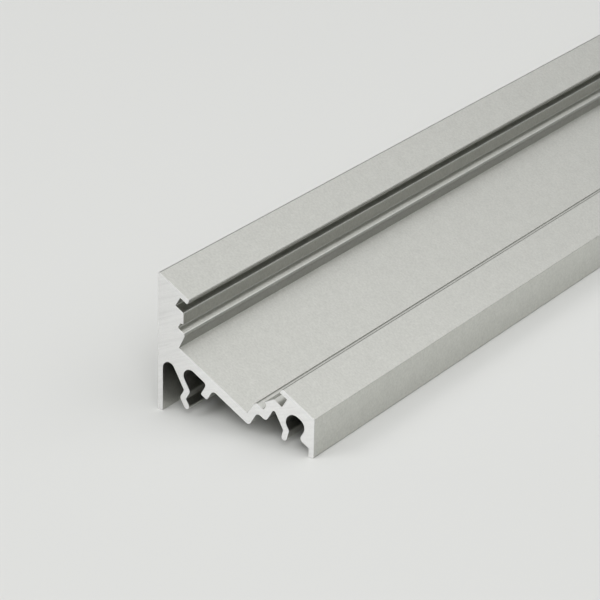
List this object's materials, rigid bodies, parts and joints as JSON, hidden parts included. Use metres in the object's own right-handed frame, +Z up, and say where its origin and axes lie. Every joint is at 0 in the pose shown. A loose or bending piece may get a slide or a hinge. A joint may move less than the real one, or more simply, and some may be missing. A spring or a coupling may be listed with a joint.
{
  "type": "corner led strip profile",
  "caption": "Extruded aluminium corner profile with a sloped strip seat in a trough, slots for a cover, and clip legs underneath.",
  "frame": {"origin": "on the floor, at the middle of the box round the profile", "axes": "+Y along the length, -X out of the back wall, +X out of the front wall, +Z up from the feet"},
  "size_m": [0.0206, 1, 0.0164],
  "materials": {
    "profile": "satin anodised, sawn bare at the ends"
  },
  "bodies": {
    "root": {"corner_profile": "profile"}
  },
  "joints": []
}
